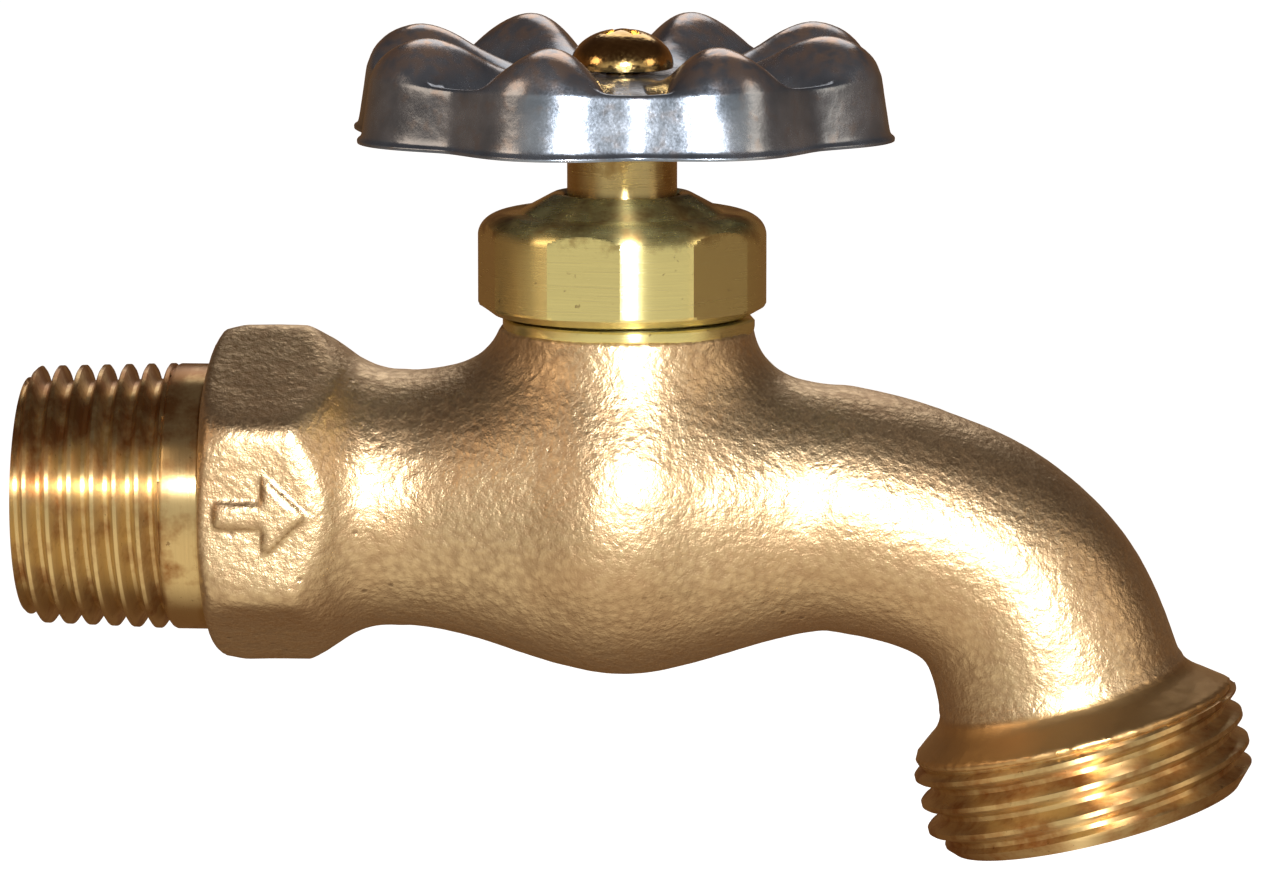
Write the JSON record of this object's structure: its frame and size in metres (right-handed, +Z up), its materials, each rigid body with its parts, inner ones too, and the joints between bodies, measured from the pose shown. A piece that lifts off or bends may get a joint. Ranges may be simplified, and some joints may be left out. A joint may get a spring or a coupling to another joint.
{
  "type": "hose bib",
  "caption": "Compression hose bib with male pipe inlet, globe body, bent spout with male hose thread, packing nut and lobed round handwheel.",
  "frame": {"origin": "middle of the end face of the male pipe inlet", "axes": "+X from the inlet towards the spout, +Y away from the side with the raised arrow, +Z up along the stem towards the handwheel"},
  "size_m": [0.0992, 0.0438, 0.0664],
  "materials": {
    "cast_bronze": "rough sand-cast bronze, golden brown",
    "turned_brass": "turned, bright",
    "nut_brass": "turned and milled, yellow brass",
    "washer_rubber": "matt black",
    "packing_graphite": "graphite-filled, dark grey",
    "wheel_metal": "dark gunmetal, satin to glossy",
    "screw_bronze": "glossy dark bronze plating"
  },
  "bodies": {
    "fixed_body": {"valve_body": "cast_bronze", "packing_nut": "nut_brass", "packing_gland": "turned_brass", "stem_packing": "packing_graphite", "packing_washer": "turned_brass"},
    "washer_carrier": {"seat_washer": "washer_rubber"},
    "turning_stem": {"stem": "turned_brass", "washer_screw": "turned_brass", "handwheel": "wheel_metal", "handle_screw": "screw_bronze"}
  },
  "joints": [
    {"name": "stem_rise", "type": "slide", "parent": "fixed_body", "child": "washer_carrier", "axis": [0, 0, 1], "range_m": [0, 0.00635]},
    {"name": "handle_turn", "type": "hinge", "parent": "washer_carrier", "child": "turning_stem", "pos_m": [0.0482, 0, 0.0336], "axis": [0, 0, 1], "range_deg": [0, 900]}
  ],
  "couplings": [
    {"joint": "stem_rise", "follows": "handle_turn", "m_per_rad": 0.00040425}
  ]
}
